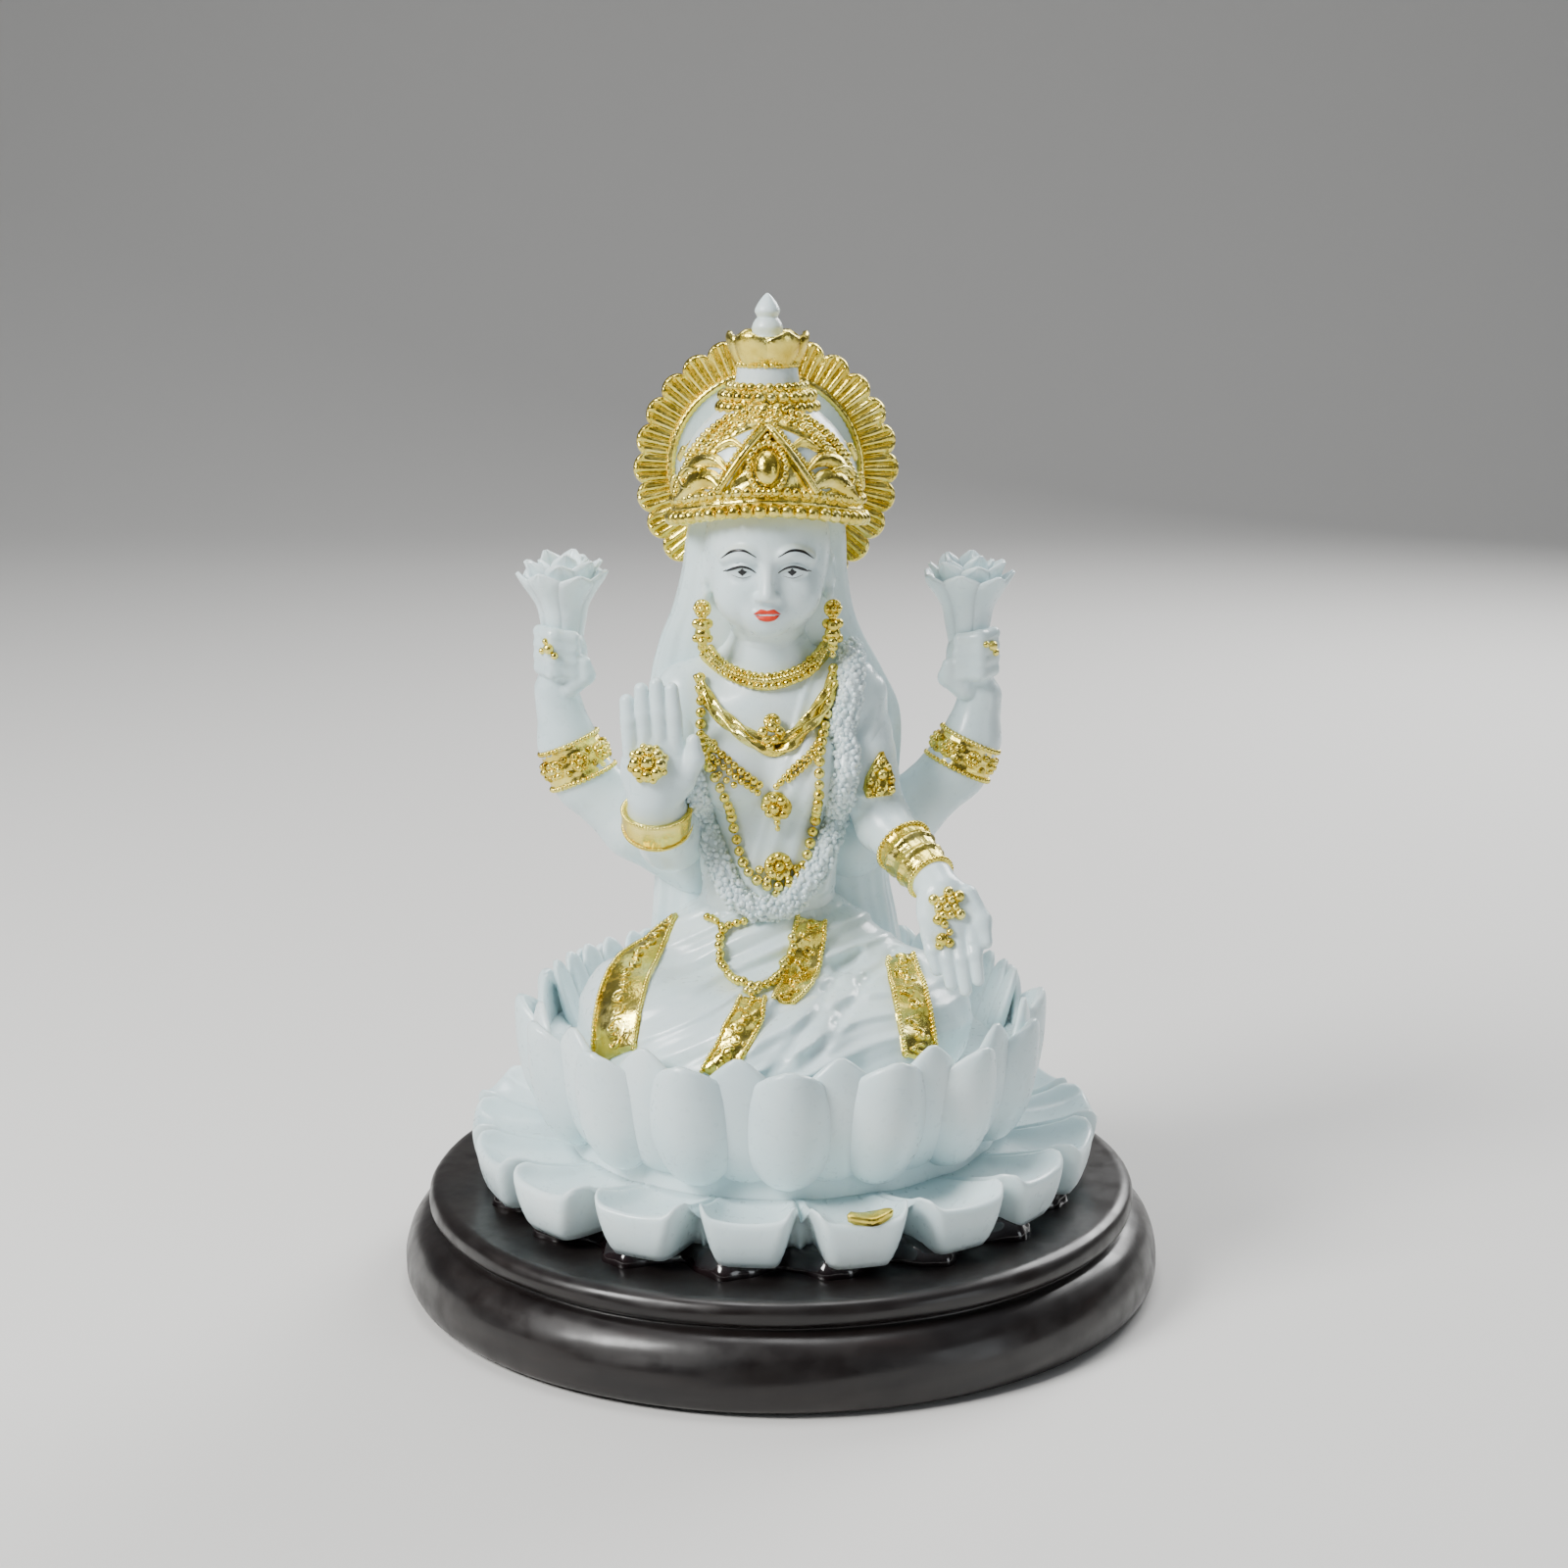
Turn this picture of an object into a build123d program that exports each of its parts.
"""Four-armed seated deity figure on a double lotus, on a round dark plinth. Millimetres.

Origin: centre of the plinth's underside. +Z up, the figure faces -Y, its own right hand is on -X.
"""

import os
from math import asin, cos, pi, radians, sin, sqrt

from build123d import *

os.makedirs("parts", exist_ok=True)

# ---- driving dimensions ----
PLINTH_R = 55.0  # widest radius of the lower moulding
PLINTH_H = 14.5  # top face of the plinth
TOTAL_H = 141.5  # tip of the finial
FIGURE_X = -1.9  # the figure leans this far to its own right of the plinth's axis

# ---- base ----
UPPER_DISC_R = 0.935 * PLINTH_R
GROOVE_R = 0.915 * PLINTH_R
MOULDING_H = 0.70 * PLINTH_H  # top of the rounded lower moulding
GROOVE_TOP = 0.775 * PLINTH_H
FOOT_GAP = 0.3  # the felt stands this far proud of the moulding
FELT_R = 0.86 * PLINTH_R
FELT_T = 1.3
SPIGOT_R = 9.0
SPIGOT_DEPTH = 4.0
SPIGOT_PLAY = 0.05

# ---- lotus ----
LOWER_COUNT = 18
LOWER_TIP_R = 47.0
LOWER_TIP_Z = PLINTH_H + 10.0
LOWER_ROOT_R = 28.5
LOWER_TURN = -95.0  # one petal points almost straight at the viewer
CORE_TOP = PLINTH_H + 8.5
ADHESIVE_T = 1.6
CUP_COUNT = 16
CUP_RIM_R = 38.6
CUP_RIM_Z = 40.5
CUP_FOOT_R = 28.3  # where the cup's bowl stands on the core
CUP_TURN = -88.0
POD_R = 26.5
POD_TOP = 35.5

# ---- figure ----
NECK_Z = 92.0
HEAD_C = (FIGURE_X, 0.0, 104.0)
HEAD_R = (8.8, 9.4, 11.2)
CROWN_BASE_Z = 111.0
CROWN_R = 13.2
CROWN_TOP_Z = 127.5
HALO_C = (FIGURE_X - 0.3, 14.5, 116.2)
HALO_R = 19.3
HALO_RING_R = 14.0
HALO_T = 2.4
HALO_SCALLOPS = 26
SKIN_GAP = 0.02  # beads only just clear the surface that they lie on
RELIEF = 0.7  # height of a gilded relief band above the drapery

parts = {}


def keep(name, builder):
    """Labels a finished piece, writes it to its own STEP file and remembers it."""
    builder.part.label = name
    export_step(builder.part, f"parts/{name}.step")
    parts[name] = builder.part


def cut(*names):
    """Cuts finished pieces out of the open part, so that the two meet face to face."""
    for name in names:
        add(parts[name], mode=Mode.SUBTRACT)


def ellipsoid(centre, radii, tilt=(0, 0, 0), mode=Mode.ADD):
    """Adds an ellipsoid to the open part."""
    ball = scale(Sphere(1, mode=Mode.PRIVATE), by=radii, mode=Mode.PRIVATE)
    add(Location(centre, tilt) * ball, mode=mode)


def capsule(start, end, start_r, end_r, mode=Mode.ADD):
    """Adds a tapered round-ended run from start to end to the open part."""
    run = Vector(*end) - Vector(*start)
    length = run.length
    lean = asin((start_r - end_r) / length)
    low = (start_r * cos(lean), start_r * sin(lean))
    high = (end_r * cos(lean), length + end_r * sin(lean))
    low_mid = (start_r * cos((lean - pi / 2) / 2), start_r * sin((lean - pi / 2) / 2))
    high_mid = (end_r * cos((lean + pi / 2) / 2), length + end_r * sin((lean + pi / 2) / 2))
    with BuildSketch(Plane.XZ, mode=Mode.PRIVATE) as half:
        with BuildLine():
            ThreePointArc((0, -start_r), low_mid, low)
            Line(low, high)
            ThreePointArc(high, high_mid, (0, length + end_r))
            Line((0, length + end_r), (0, -start_r))
        make_face()
    body = revolve(half.sketch, axis=Axis.Z, mode=Mode.PRIVATE)
    add(Plane(origin=start, z_dir=run).location * body, mode=mode)


def limb(*stations):
    """Adds a chain of tapered runs through stations of (x, y, z, radius)."""
    for a, b in zip(stations, stations[1:]):
        capsule(a[:3], b[:3], a[3], b[3])


def surface_point(name, x, z):
    """The front point of a finished piece at this x and z, and the outward direction there."""
    hits = parts[name].find_intersection_points(Axis((x, -200, z), (0, 1, 0)))
    point, normal = min(hits, key=lambda hit: hit[0].Y)
    if normal.Y > 0:
        normal = -normal
    return point, normal


def walk(route, spacing):
    """Points every spacing millimetres along a polyline of (x, z) pairs."""
    found = []
    carried = 0.0
    for (x0, z0), (x1, z1) in zip(route, route[1:]):
        run = sqrt((x1 - x0) ** 2 + (z1 - z0) ** 2)
        while carried < run:
            share = carried / run
            found.append((x0 + (x1 - x0) * share, z0 + (z1 - z0) * share))
            carried += spacing
        carried -= run
    return found


def curve_route(*corners, steps=14):
    """A smooth route in (x, z) through the corners, as a polyline."""
    line = Spline(*[(x, z) for x, z in corners]) if len(corners) > 2 else Line(*corners)
    return [(p.X, p.Y) for p in (line @ (i / steps) for i in range(steps + 1))]


def beads(name, route, bead_r, on, gap=0.06):
    """A strand of round beads lying on a finished piece along a route in (x, z)."""
    with BuildPart() as strand:
        for x, z in walk(route, 2 * bead_r + gap):
            point, normal = surface_point(on, x, z)
            with Locations(point + normal * (bead_r + SKIN_GAP)):
                Sphere(bead_r)
    keep(name, strand)


# ======================= plinth =======================
with BuildPart() as plinth:
    with BuildSketch(Plane.XZ):
        with BuildLine():
            Polyline(
                (0, PLINTH_H - SPIGOT_DEPTH),
                (0, FELT_T),
                (FELT_R + 0.1, FELT_T),
                (FELT_R + 0.1, FOOT_GAP),
                (PLINTH_R - 1.6, FOOT_GAP),
            )
            ThreePointArc(
                (PLINTH_R - 1.6, FOOT_GAP),
                (PLINTH_R, 0.36 * PLINTH_H),
                (GROOVE_R + 0.6, MOULDING_H),
            )
            Polyline(
                (GROOVE_R + 0.6, MOULDING_H),
                (GROOVE_R, MOULDING_H),
                (GROOVE_R, GROOVE_TOP),
                (UPPER_DISC_R - 0.5, GROOVE_TOP),
            )
            ThreePointArc(
                (UPPER_DISC_R - 0.5, GROOVE_TOP),
                (UPPER_DISC_R, 0.89 * PLINTH_H),
                (UPPER_DISC_R - 1.0, PLINTH_H),
            )
            Polyline(
                (UPPER_DISC_R - 1.0, PLINTH_H),
                (SPIGOT_R, PLINTH_H),
                (SPIGOT_R, PLINTH_H - SPIGOT_DEPTH),
                (0, PLINTH_H - SPIGOT_DEPTH),
            )
        make_face()
    revolve(axis=Axis.Z)
keep("plinth", plinth)

with BuildPart() as felt_pad:
    Cylinder(FELT_R, FELT_T, align=(Align.CENTER, Align.CENTER, Align.MIN))
keep("felt_pad", felt_pad)

# ======================= lotus =======================
CORE_R = LOWER_ROOT_R + 3.0
LOWER_HALF = 180 / LOWER_COUNT

with BuildPart() as lotus_core:
    with BuildSketch(Plane.XZ):
        with BuildLine():
            Polyline(
                (0, PLINTH_H - SPIGOT_DEPTH + 0.1),
                (SPIGOT_R - SPIGOT_PLAY, PLINTH_H - SPIGOT_DEPTH + 0.1),
                (SPIGOT_R - SPIGOT_PLAY, PLINTH_H),
                (CORE_R, PLINTH_H),
                (CORE_R, PLINTH_H + 3.0),
                (LOWER_ROOT_R, CORE_TOP),
                (0, CORE_TOP),
                (0, PLINTH_H - SPIGOT_DEPTH + 0.1),
            )
        make_face()
    revolve(axis=Axis.Z)
keep("lotus_core", lotus_core)


def sector(half_angle, inner_r, outer_r, low, high):
    """Cuts the open part down to a wedge about +X between two radii and two heights."""
    with BuildSketch(Plane.XY.offset(low), mode=Mode.PRIVATE) as wedge:
        with BuildLine():
            Line((0, 0), (outer_r * cos(radians(half_angle)), -outer_r * sin(radians(half_angle))))
            ThreePointArc(
                (outer_r * cos(radians(half_angle)), -outer_r * sin(radians(half_angle))),
                (outer_r, 0),
                (outer_r * cos(radians(half_angle)), outer_r * sin(radians(half_angle))),
            )
            Line((outer_r * cos(radians(half_angle)), outer_r * sin(radians(half_angle))), (0, 0))
        make_face()
        Circle(inner_r, mode=Mode.SUBTRACT)
    extrude(wedge.sketch, amount=high - low, mode=Mode.INTERSECT)


# One open petal of the lower tier: a deep spoon that points outwards along +X.
SPOON_MID_R = (LOWER_TIP_R + CORE_R) / 2
with BuildPart() as lower_petal:
    ellipsoid((SPOON_MID_R, 0, LOWER_TIP_Z), (LOWER_TIP_R - SPOON_MID_R, 9.5, 8.6))
    ellipsoid(
        (SPOON_MID_R - 0.6, 0, LOWER_TIP_Z + 1.2),
        (LOWER_TIP_R - SPOON_MID_R - 1.0, 7.4, 6.8),
        mode=Mode.SUBTRACT,
    )
    sector(LOWER_HALF - 0.02, CORE_R + 0.02, 60, PLINTH_H + ADHESIVE_T, LOWER_TIP_Z)

with BuildPart() as lower_petals:
    with PolarLocations(0, LOWER_COUNT, start_angle=LOWER_TURN):
        add(lower_petal.part)
keep("lower_petals", lower_petals)

# Squeezed-out black adhesive: a low scalloped ring under the petals.
with BuildPart() as adhesive_bead:
    with BuildSketch(Plane.XY.offset(PLINTH_H)):
        Circle(CORE_R + 10.5)
        with PolarLocations(CORE_R + 9.0, LOWER_COUNT, start_angle=LOWER_TURN):
            Circle(4.4)
        Circle(CORE_R + 0.02, mode=Mode.SUBTRACT)
    extrude(amount=ADHESIVE_T)
    chamfer(edges().group_by(Axis.Z)[-1], length=0.5)
    cut("lower_petals")
keep("adhesive_bead", adhesive_bead)

# The cup's bowl, which carries the inner petals.
CUP_WALL = 2.6
with BuildPart() as cup_bowl:
    with BuildSketch(Plane.XZ):
        with BuildLine():
            Spline(
                (CUP_FOOT_R, CORE_TOP),
                (CUP_FOOT_R + 2.6, CORE_TOP + 5.5),
                (CUP_RIM_R - 3.6, CUP_RIM_Z - 5.0),
            )
            Polyline(
                (CUP_RIM_R - 3.6, CUP_RIM_Z - 5.0),
                (CUP_RIM_R - 3.6 - CUP_WALL, CUP_RIM_Z - 5.0),
                (POD_R + 0.02, POD_TOP - 6.0),
                (POD_R + 0.02, CORE_TOP),
                (CUP_FOOT_R, CORE_TOP),
            )
        make_face()
    revolve(axis=Axis.Z)
keep("cup_bowl", cup_bowl)

with BuildPart(Plane.XY.offset(CORE_TOP)) as lotus_pod:
    Cylinder(POD_R, POD_TOP - CORE_TOP, align=(Align.CENTER, Align.CENTER, Align.MIN))
keep("lotus_pod", lotus_pod)

CUP_HALF = 180 / CUP_COUNT


def cup_petal(mid_r, mid_z, radii, lean):
    """One upright cup petal on +X: an egg that leans outwards, cut back by the bowl."""
    with BuildPart() as petal:
        ellipsoid((mid_r, 0, mid_z), radii, tilt=(0, lean, 0))
        sector(CUP_HALF - 0.02, POD_R + 0.1, 60, CORE_TOP + 0.3, CUP_RIM_Z + 2)
        cut("cup_bowl")
    return petal.part.solids().sort_by(SortBy.VOLUME)[-1]


outer_egg = cup_petal(33.8, 33.2, (3.4, 6.6, 9.6), 24)
with BuildPart() as cup_outer_petals:
    with PolarLocations(0, CUP_COUNT, start_angle=CUP_TURN):
        add(outer_egg)
keep("cup_outer_petals", cup_outer_petals)

with BuildPart() as inner_egg:
    ellipsoid((33.6, 0, 36.6), (1.7, 5.6, 6.0), tilt=(0, 18, 0))
    sector(CUP_HALF - 0.02, POD_R + 0.1, 60, CORE_TOP + 0.3, CUP_RIM_Z + 3)
    cut("cup_bowl")
with BuildPart() as cup_inner_petals:
    with PolarLocations(0, CUP_COUNT, start_angle=CUP_TURN + CUP_HALF):
        add(inner_egg.part)
    cut("cup_outer_petals")
keep("cup_inner_petals", cup_inner_petals)

# ======================= body =======================
with BuildPart() as torso:
    for z, y, wide, deep in (
        (44.0, 0.5, 13.5, 10.5),
        (56.0, 0.0, 11.0, 8.2),
        (68.0, -0.6, 12.4, 9.2),
        (77.0, -1.0, 13.6, 10.6),
        (84.0, 0.0, 15.0, 8.6),
        (88.5, 0.6, 11.0, 7.0),
        (NECK_Z, 0.6, 5.8, 5.6),
    ):
        with BuildSketch(Plane((FIGURE_X, y, z))):
            Ellipse(wide, deep)
    loft()
keep("torso", torso)

with BuildPart() as legs_drapery:
    ellipsoid((-0.8, -8.5, 37.5), (28.6, 24.5, 11.0))
    limb((-9, 2, 43, 9.0), (-20, -7, 40.5, 8.6))
    limb((9, 2, 43, 9.0), (18.5, -7, 40.5, 8.6))
    limb((-16, -17, 38, 6.5), (2, -25, 38, 6.5), (15, -17, 38, 6.3))
    with Locations((0, 0, POD_TOP)):
        Box(90, 90, 30, align=(Align.CENTER, Align.CENTER, Align.MAX), mode=Mode.SUBTRACT)
    cut("torso", "cup_bowl", "cup_inner_petals", "cup_outer_petals")
keep("legs_drapery", legs_drapery)

with BuildPart() as neck:
    capsule((FIGURE_X, 0.6, NECK_Z - 1), (FIGURE_X, 0.2, 98), 5.3, 5.0)
    cut("torso")
keep("neck", neck)

with BuildPart() as head:
    ellipsoid(HEAD_C, HEAD_R)
    ellipsoid((FIGURE_X, -1.5, 98.5), (6.6, 7.0, 5.2))
    capsule((FIGURE_X, -8.9, 105.5), (FIGURE_X, -9.6, 101.8), 0.8, 1.2)
    cut("neck", "torso")
keep("head", head)

with BuildPart() as veil:
    for z, y, wide, deep in (
        (50.5, 7.5, 17.0, 5.6),
        (60.0, 8.0, 16.6, 5.2),
        (74.0, 8.5, 17.4, 5.2),
        (86.0, 8.0, 17.6, 5.6),
        (96.0, 6.0, 13.6, 6.6),
        (105.0, 5.0, 11.9, 8.0),
        (112.0, 5.0, 10.5, 7.6),
    ):
        with BuildSketch(Plane((FIGURE_X + 0.4, y, z))):
            Ellipse(wide, deep)
    loft()
    cut("torso", "neck", "head", "legs_drapery")
keep("veil", veil)

# ======================= crown and halo =======================
CROWN_C = (FIGURE_X, 1.8)
CROWN_PLANE = Plane((*CROWN_C, 0), x_dir=(1, 0, 0), z_dir=(0, -1, 0))
CROWN_AXIS = Axis((*CROWN_C, 0), (0, 0, 1))
COLLAR_Z = 131.4
FINIAL_Z = 135.6


def turned(name, outline, hidden=()):
    """A piece turned about the crown's axis from its (radius, z) outline."""
    with BuildPart() as piece:
        with BuildSketch(CROWN_PLANE):
            with BuildLine():
                Polyline(*outline, close=True)
            make_face()
        revolve(axis=CROWN_AXIS)
        cut(*hidden)
    keep(name, piece)


with BuildPart() as crown_dome:
    with BuildSketch(CROWN_PLANE):
        with BuildLine():
            Line((0, CROWN_BASE_Z), (CROWN_R - 0.8, CROWN_BASE_Z))
            Spline(
                (CROWN_R - 0.8, CROWN_BASE_Z),
                (CROWN_R - 0.4, CROWN_BASE_Z + 5),
                (CROWN_R - 3.6, CROWN_BASE_Z + 12),
                (5.4, CROWN_TOP_Z - 1.5),
            )
            Polyline(
                (5.4, CROWN_TOP_Z - 1.5),
                (4.6, CROWN_TOP_Z),
                (3.6, COLLAR_Z),
                (0, COLLAR_Z),
                (0, CROWN_BASE_Z),
            )
        make_face()
    revolve(axis=CROWN_AXIS)
    cut("head", "veil")
keep("crown_dome", crown_dome)

turned(
    "crown_band",
    [(CROWN_R - 1.4, CROWN_BASE_Z - 1.4), (CROWN_R, CROWN_BASE_Z - 1.2), (CROWN_R + 0.5, CROWN_BASE_Z + 0.4),
     (CROWN_R + 0.3, CROWN_BASE_Z + 2.4), (CROWN_R - 1.4, CROWN_BASE_Z + 2.4)],
    hidden=("head", "veil", "crown_dome"),
)
turned(
    "crown_bead_ring",
    [(0.5, CROWN_TOP_Z - 3.0), (6.4, CROWN_TOP_Z - 3.0), (6.9, CROWN_TOP_Z - 1.4), (5.6, CROWN_TOP_Z + 0.8),
     (0.5, CROWN_TOP_Z + 0.8)],
    hidden=("crown_dome",),
)
with BuildPart() as crown_collar:
    with BuildSketch(CROWN_PLANE):
        with BuildLine():
            Line((0, COLLAR_Z), (3.4, COLLAR_Z))
            ThreePointArc((3.4, COLLAR_Z), (4.9, COLLAR_Z + 2.0), (5.5, FINIAL_Z + 0.6))
            Line((5.5, FINIAL_Z + 0.6), (4.7, FINIAL_Z + 0.6))
            ThreePointArc((4.7, FINIAL_Z + 0.6), (3.9, COLLAR_Z + 3.2), (2.4, FINIAL_Z - 1.6))
            Polyline((2.4, FINIAL_Z - 1.6), (0, FINIAL_Z - 1.6), (0, COLLAR_Z))
        make_face()
    revolve(axis=CROWN_AXIS)
keep("crown_collar", crown_collar)

with BuildPart() as crown_finial:
    with BuildSketch(CROWN_PLANE):
        with BuildLine():
            Line((0, FINIAL_Z - 1.6), (1.9, FINIAL_Z - 1.6))
            ThreePointArc((1.9, FINIAL_Z - 1.6), (2.2, FINIAL_Z + 0.3), (1.7, FINIAL_Z + 1.6))
            Spline((1.7, FINIAL_Z + 1.6), (2.0, FINIAL_Z + 3.0), (1.3, FINIAL_Z + 4.8), (0, TOTAL_H))
            Line((0, TOTAL_H), (0, FINIAL_Z - 1.6))
        make_face()
    revolve(axis=CROWN_AXIS)
keep("crown_finial", crown_finial)

# The gilded crest: a gabled plate that hugs the front of the dome, with an oval jewel.
CREST_FOOT_Z = CROWN_BASE_Z + 2.5
with BuildPart() as crest_shell:
    with Locations((*CROWN_C, CROWN_BASE_Z)):
        Cone(CROWN_R + 1.4, CROWN_R - 2.6, 14, align=(Align.CENTER, Align.CENTER, Align.MIN))
with BuildPart() as crown_crest:
    with BuildSketch(Plane.XZ.offset(-CROWN_C[1])):
        with BuildLine():
            Polyline(
                (FIGURE_X - 11.0, CREST_FOOT_Z),
                (FIGURE_X + 11.0, CREST_FOOT_Z),
                (FIGURE_X + 8.4, CREST_FOOT_Z + 4.2),
                (FIGURE_X + 5.0, CREST_FOOT_Z + 3.2),
                (FIGURE_X, CREST_FOOT_Z + 9.6),
                (FIGURE_X - 5.0, CREST_FOOT_Z + 3.2),
                (FIGURE_X - 8.4, CREST_FOOT_Z + 4.2),
                close=True,
            )
        make_face()
    extrude(amount=20)
    add(crest_shell.part, mode=Mode.INTERSECT)
    cut("crown_dome", "crown_band", "head")
with BuildPart() as crest_plate:
    add(crown_crest.part.solids().sort_by(SortBy.VOLUME)[-1])
keep("crown_crest", crest_plate)

with BuildPart() as crown_jewel:
    point, normal = surface_point("crown_crest", FIGURE_X, CREST_FOOT_Z + 4.6)
    ellipsoid((FIGURE_X, point.Y - 0.2, CREST_FOOT_Z + 4.6), (2.3, 1.3, 3.0), tilt=(-12, 0, 0))
    cut("crown_crest", "crown_dome")
keep("crown_jewel", crown_jewel)


def scalloped(outer_r, depth, count):
    """A closed outline of round scallops about its own origin."""
    step = 2 * pi / count
    valley = outer_r - depth
    with BuildSketch() as outline:
        with BuildLine():
            for k in range(count):
                a = k * step
                ThreePointArc(
                    (valley * cos(a), valley * sin(a)),
                    (outer_r * cos(a + step / 2), outer_r * sin(a + step / 2)),
                    (valley * cos(a + step), valley * sin(a + step)),
                )
        make_face()
    return outline.sketch


HALO_PLANE = Plane(HALO_C, x_dir=(1, 0, 0), z_dir=(0, -1, 0))
with BuildPart() as halo_disc:
    with BuildSketch(HALO_PLANE):
        Circle(HALO_RING_R)
    extrude(amount=HALO_T)
    cut("veil", "crown_dome", "crown_band")
keep("halo_disc", halo_disc)

with BuildPart() as halo_rays:
    with BuildSketch(HALO_PLANE):
        add(scalloped(HALO_R, 1.1, HALO_SCALLOPS))
        Circle(HALO_RING_R, mode=Mode.SUBTRACT)
    extrude(amount=HALO_T - 0.4)
    cut("veil", "crown_collar")
keep("halo_rays", halo_rays)

with BuildPart() as halo_ring:
    with BuildSketch(HALO_PLANE.offset(HALO_T)):
        Circle(HALO_RING_R)
        Circle(HALO_RING_R - 1.1, mode=Mode.SUBTRACT)
    extrude(amount=0.7)
    cut("veil", "crown_dome", "crown_band", "crown_bead_ring")
keep("halo_ring", halo_ring)

# ======================= arms =======================
REAR_Y = 8.5


def rear_arm(name, side, elbow, wrist, fist):
    """A rear arm: out of the back of the shoulder, down to the elbow and up to the fist."""
    shoulder_x = FIGURE_X + side * 13
    with BuildPart() as arm:
        limb(
            (shoulder_x, REAR_Y, 62, 5.0),
            (elbow[0], REAR_Y + 0.5, elbow[1], 4.3),
            (wrist[0], REAR_Y, wrist[1], 3.2),
        )
        cut("veil", "torso", "legs_drapery")
    keep(name + "_arm", arm)
    with BuildPart() as hand:
        ellipsoid((fist[0], REAR_Y - 0.4, fist[1]), (4.0, 3.9, 4.4))
        for k in range(4):
            knuckle_z = fist[1] + 2.9 - 1.85 * k
            capsule(
                (fist[0] - side * 2.8, REAR_Y - 1.9, knuckle_z),
                (fist[0] + side * 1.6, REAR_Y - 3.6, knuckle_z),
                1.1, 1.05,
            )
        cut(name + "_arm")
    keep(name + "_hand", hand)


def held_lotus(name, hand, x, base_z, top_z):
    """The half-open lotus in a rear hand: a stem, a calyx and flared petals."""
    flare = 6.0
    with BuildPart() as flower:
        capsule((x, REAR_Y, base_z - 2.5), (x, REAR_Y, base_z + 2.5), 2.6, 2.9)
        with Locations((x, REAR_Y, base_z + 1)):
            Cone(2.7, flare, top_z - base_z - 2.2, align=(Align.CENTER, Align.CENTER, Align.MIN))
        for k in range(8):
            a = radians(45 * k + 20)
            ellipsoid(
                (x + 4.6 * cos(a), REAR_Y + 4.6 * sin(a), top_z - 4.2),
                (1.5, 2.5, 4.3),
                tilt=(26 * sin(a + pi), 26 * cos(a), 0),
            )
        cut(hand)
    keep(name, flower)


rear_arm("rear_right", -1, elbow=(-29.6, 72.5), wrist=(-32.6, 84.5), fist=(-31.8, 89.6))
rear_arm("rear_left", 1, elbow=(27.0, 74.0), wrist=(29.0, 84.5), fist=(27.6, 89.4))
held_lotus("lotus_flower_right", "rear_right_hand", -31.2, 94.6, 104.4)
held_lotus("lotus_flower_left", "rear_left_hand", 26.2, 94.4, 104.2)

# Front right arm: bent, with the palm raised to the viewer.
with BuildPart() as front_right_arm:
    limb(
        (FIGURE_X - 12.5, 1.0, 83, 4.6),
        (-17.0, -1.0, 63.5, 5.4),
        (-17.5, -9.5, 71.5, 4.3),
    )
    cut("torso", "veil", "rear_right_arm", "legs_drapery")
keep("front_right_arm", front_right_arm)

PALM_R = (-17.4, -10.5, 78.0)
with BuildPart() as front_right_hand:
    ellipsoid(PALM_R, (5.2, 2.5, 6.0))
    for k in range(4):
        root_x = PALM_R[0] - 3.5 + 2.3 * k
        tip_z = 88.4 - 0.7 * (k - 1.4) ** 2
        capsule((root_x, PALM_R[1], PALM_R[2] + 3.0), (root_x + 0.25, PALM_R[1] + 0.3, tip_z), 1.35, 1.05)
    capsule(
        (PALM_R[0] + 3.8, PALM_R[1] - 0.5, PALM_R[2] - 1.5),
        (PALM_R[0] + 5.2, PALM_R[1] - 1.0, PALM_R[2] + 4.6),
        1.7, 1.15,
    )
    cut("front_right_arm", "torso")
keep("front_right_hand", front_right_hand)

# Front left arm: lowered over the knee, palm to the viewer and fingers down.
with BuildPart() as front_left_arm:
    limb(
        (FIGURE_X + 13.0, 0.0, 84, 4.8),
        (13.8, -4.0, 69.5, 5.0),
        (20.6, -14.5, 62.0, 3.4),
    )
    cut("torso", "veil", "rear_left_arm", "legs_drapery")
keep("front_left_arm", front_left_arm)

PALM_L = (23.2, -19.0, 57.2)
with BuildPart() as front_left_hand:
    ellipsoid(PALM_L, (4.6, 2.4, 5.6), tilt=(24, -14, 0))
    for k in range(4):
        root = (PALM_L[0] - 2.2 + 2.1 * k, PALM_L[1] - 1.4, PALM_L[2] - 3.0)
        reach = 7.6 - 0.6 * (k - 1.6) ** 2
        capsule(root, (root[0] + 0.8, root[1] - 2.2, root[2] - reach), 1.25, 1.0)
    capsule(
        (PALM_L[0] - 3.6, PALM_L[1] - 0.6, PALM_L[2] + 1.0),
        (PALM_L[0] - 4.4, PALM_L[1] - 2.0, PALM_L[2] - 4.6),
        1.5, 1.1,
    )
    cut("front_left_arm", "legs_drapery")
keep("front_left_hand", front_left_hand)

# ======================= gilding on the arms =======================
def cuff(name, at, along, arm_r, width, on, spare=()):
    """A raised bracelet round a limb."""
    with BuildPart() as ring:
        with Locations(Plane(origin=at, z_dir=along).location):
            Cylinder(arm_r + 0.9, width)
            chamfer(edges().filter_by(GeomType.CIRCLE), length=0.35)
        cut(on, *spare)
    solids = ring.part.solids().sort_by(SortBy.VOLUME)
    with BuildPart() as cleaned:
        add(solids[-1])
    keep(name, cleaned)


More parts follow.
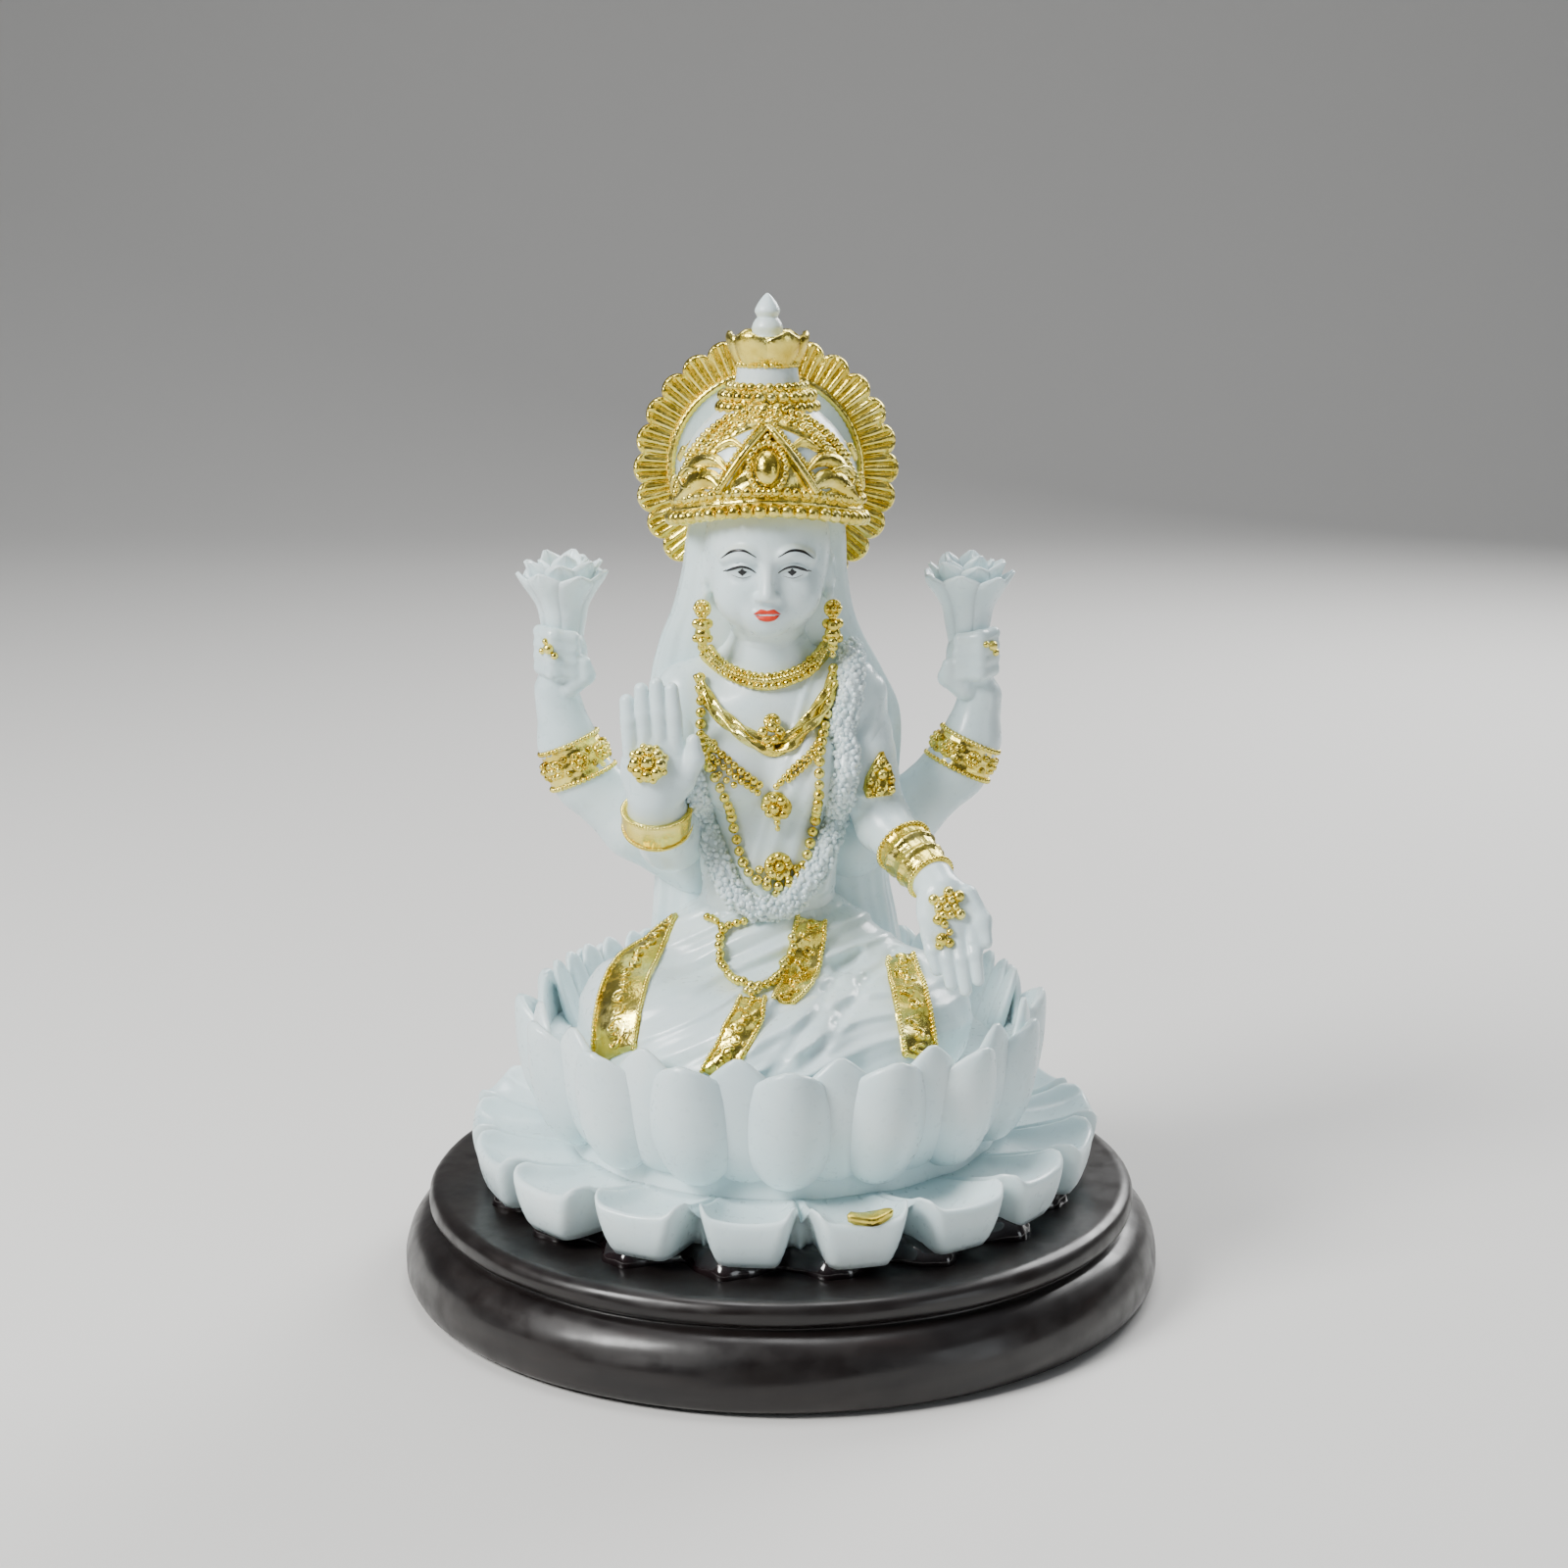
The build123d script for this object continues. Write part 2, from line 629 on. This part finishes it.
cuff("armlet_rear_right", (-30.2, REAR_Y + 0.4, 74.6), (-3.0, 0, 10), 4.4, 6.2, "rear_right_arm")
cuff("armlet_rear_left", (27.2, REAR_Y + 0.4, 75.4), (2.5, 0, 10), 4.2, 5.6, "rear_left_arm")
cuff("bangle_front_right", (-17.4, -7.6, 69.7), (-0.5, -8.5, 8.0), 4.6, 3.6, "front_right_arm",
     ("front_right_hand", "torso"))
cuff("bangle_front_left", (18.6, -11.4, 64.2), (6.8, -10.5, -7.5), 3.9, 4.0, "front_left_arm",
     ("front_left_hand",))


def boss(name, on, x, z, radii, tilt=(0, 0, 0)):
    """A raised gilded ornament set on the front of a finished piece."""
    point, normal = surface_point(on, x, z)
    with BuildPart() as piece:
        ellipsoid((x, point.Y, z), radii, tilt=tilt)
        cut(on)
    keep(name, piece)


boss("palm_ornament_right", "front_right_hand", PALM_R[0] - 0.6, PALM_R[2] + 0.4, (3.2, 0.9, 2.7))
boss("palm_ornament_left", "front_left_hand", PALM_L[0] - 0.4, PALM_L[2] + 0.9, (2.8, 0.9, 2.4))
boss("sleeve_ornament", "front_left_arm", 13.4, 74.6, (2.5, 1.0, 3.9))
boss("hand_ornament_rear_right", "rear_right_hand", -33.4, 91.0, (1.4, 0.9, 1.3))
boss("hand_ornament_rear_left", "rear_left_hand", 30.2, 90.6, (1.1, 0.9, 1.1))

# ======================= gilding on the head and chest =======================
for side, side_name in ((-1, "right"), (1, "left")):
    x = FIGURE_X + side * (HEAD_R[0] - 0.4)
    with BuildPart() as earring:
        ellipsoid((x, -3.2, 97.6), (1.2, 1.0, 1.6))
        ellipsoid((x, -3.6, 95.0), (1.9, 1.4, 2.0))
        cut("head", "neck", "veil", "torso")
    keep(f"earring_{side_name}", earring)

CHOKER = curve_route((-9.2, 90.0), (-7.0, 87.9), (FIGURE_X, 86.4), (3.4, 87.9), (5.4, 90.0))
COLLAR = curve_route((-11.2, 86.6), (-8.0, 82.4), (FIGURE_X + 0.6, 78.6), (5.2, 82.4), (7.4, 86.4))
MIDDLE = curve_route((-9.6, 80.0), (-6.6, 77.6), (-0.6, 73.6), (3.0, 77.6), (5.0, 80.0))
LONG = curve_route(
    (-11.2, 82.0), (-9.2, 74.0), (-7.0, 66.4), (-1.0, 61.4), (3.4, 66.4), (5.0, 74.0), (6.6, 81.6)
)
beads("choker_beads", CHOKER, 0.75, "torso")
beads("collar_beads", COLLAR, 0.85, "torso")
beads("middle_beads", MIDDLE, 0.6, "torso")
beads("long_beads", LONG, 0.68, "torso", gap=0.12)
STRANDS = ("choker_beads", "collar_beads", "middle_beads", "long_beads")


def pendant(name, x, z, r):
    """A round pendant boss on the chest, below a strand."""
    point, normal = surface_point("torso", x, z)
    with BuildPart() as piece:
        ellipsoid((x, point.Y - 0.3, z), (r, 1.1, r))
        cut("torso", *STRANDS)
    keep(name, piece)


pendant("collar_pendant", FIGURE_X + 0.6, 80.6, 1.5)
pendant("middle_pendant", -0.6, 71.4, 1.9)
pendant("long_pendant", -0.8, 63.6, 1.8)

# ======================= garland and waist =======================
GARLAND_LEFT = curve_route((10.4, 83.4), (9.4, 75.0), (6.4, 64.4), (2.0, 57.8))
GARLAND_RIGHT = curve_route((-10.6, 69.0), (-9.4, 63.2), (-5.4, 57.4))
GARLAND_R = 1.4
with BuildPart() as garland:
    placed = []
    for x, z in walk(GARLAND_LEFT, 1.0) + walk(GARLAND_RIGHT, 1.0):
        point, normal = surface_point("torso", x, z)
        centre = point + normal * (GARLAND_R + SKIN_GAP)
        if all((centre - other).length > 2 * GARLAND_R + 0.1 for other in placed):
            placed.append(centre)
            with Locations(centre):
                Sphere(GARLAND_R)
keep("garland", garland)

# The lap again, thicker by the relief: what the gilded bands are cut from.
with BuildPart() as relief_shell:
    ellipsoid((-0.8, -8.5, 37.5), (28.6 + RELIEF, 24.5 + RELIEF, 11.0 + RELIEF))
    limb((-9, 2, 43, 9.0 + RELIEF), (-20, -7, 40.5, 8.6 + RELIEF))
    limb((9, 2, 43, 9.0 + RELIEF), (18.5, -7, 40.5, 8.6 + RELIEF))


def lap_band(name, *outline):
    """A gilded relief band that hugs the lap, from its outline in (x, z) as seen from the front."""
    with BuildPart() as band:
        with BuildSketch(Plane.XZ.offset(2)):
            with BuildLine():
                Polyline(*outline, close=True)
            make_face()
        extrude(amount=60)
        add(relief_shell.part, mode=Mode.INTERSECT)
        cut("legs_drapery", "torso", "cup_outer_petals", "cup_inner_petals", "cup_bowl", "front_left_hand")
    with BuildPart() as strip:
        add(band.part.solids().sort_by(SortBy.VOLUME)[-1])
    keep(name, strip)


lap_band("sari_band_right", (-24.0, 52), (-17.2, 52), (-19.4, 45), (-18.8, 38), (-25.4, 38), (-26.0, 45))
lap_band("sari_band_centre", (-6.2, 48), (-1.8, 48), (-5.4, 38), (-10.6, 38))
lap_band("sari_band_waist", (0.8, 51), (5.4, 51), (3.0, 44.5), (-1.4, 44.5))
lap_band("sari_band_left", (13.2, 50), (19.6, 50), (22.2, 38), (15.8, 38))

WAIST = curve_route((-9.0, 56.0), (-5.6, 52.4), (-1.0, 51.0), (3.6, 52.6))
beads("waist_chain", WAIST, 0.7, "torso")

# A patch of gilding on the rim of one lower petal, to the figure's left of the front.
PATCH_TURN = LOWER_TURN + 360 / LOWER_COUNT
with BuildPart() as petal_gilding:
    with Locations(Location((0, 0, 0), (0, 0, PATCH_TURN))):
        ellipsoid((LOWER_TIP_R - 2.2, 0, LOWER_TIP_Z - 0.2), (2.4, 3.6, 1.5))
    cut("lower_petals")
keep("petal_gilding", petal_gilding)
